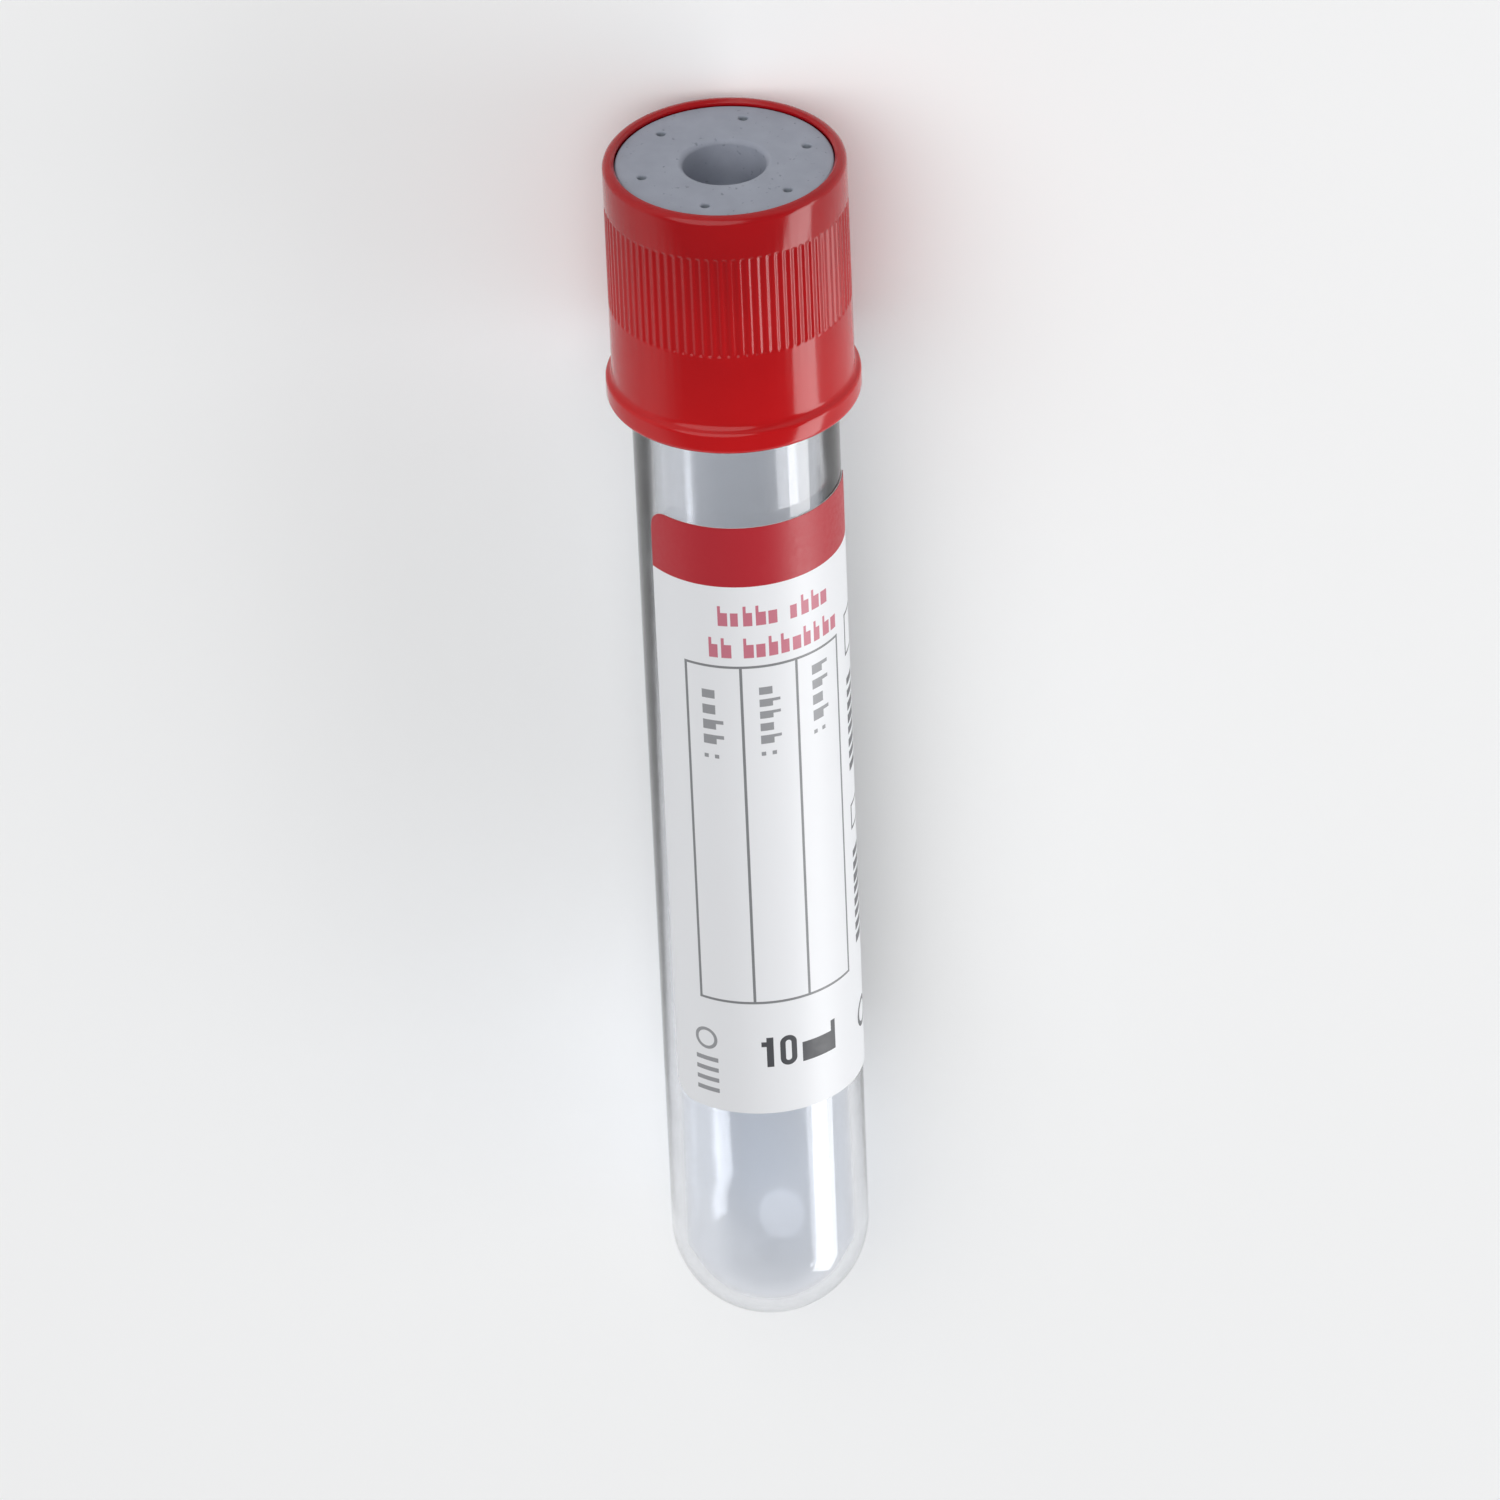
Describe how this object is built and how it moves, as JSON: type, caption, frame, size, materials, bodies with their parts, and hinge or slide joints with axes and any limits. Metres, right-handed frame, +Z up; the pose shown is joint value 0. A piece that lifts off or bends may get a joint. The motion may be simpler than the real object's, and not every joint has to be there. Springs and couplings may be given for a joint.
{
  "type": "blood collection tube",
  "caption": "Clear round-bottomed sample tube with a wrapped paper label and a ribbed red shield over a grey rubber stopper; the closure pulls off along the tube.",
  "frame": {"origin": "on the bench that the tube lies on, under the middle of its length", "axes": "+X along the tube towards its cap, +Z up. The tube's own axis rises 1.48 degrees from +X, because the lip of the shield is wider than the round end"},
  "size_m": [0.1052, 0.0196, 0.0196],
  "materials": {
    "clear_pet": "clear, polished, faintly blue-grey",
    "label_paper": "smooth coated paper with printed colour fields",
    "red_plastic": "glossy moulded plastic",
    "grey_rubber": "matte moulded rubber"
  },
  "bodies": {
    "tube": {"tube_body": "clear_pet", "label": "label_paper"},
    "closure": {"cap_shield": "red_plastic", "rubber_stopper": "grey_rubber"}
  },
  "joints": [
    {"name": "closure_pull", "type": "slide", "parent": "tube", "child": "closure", "axis": [0.9997, 0, 0.0259], "range_m": [0, 0.03]}
  ]
}
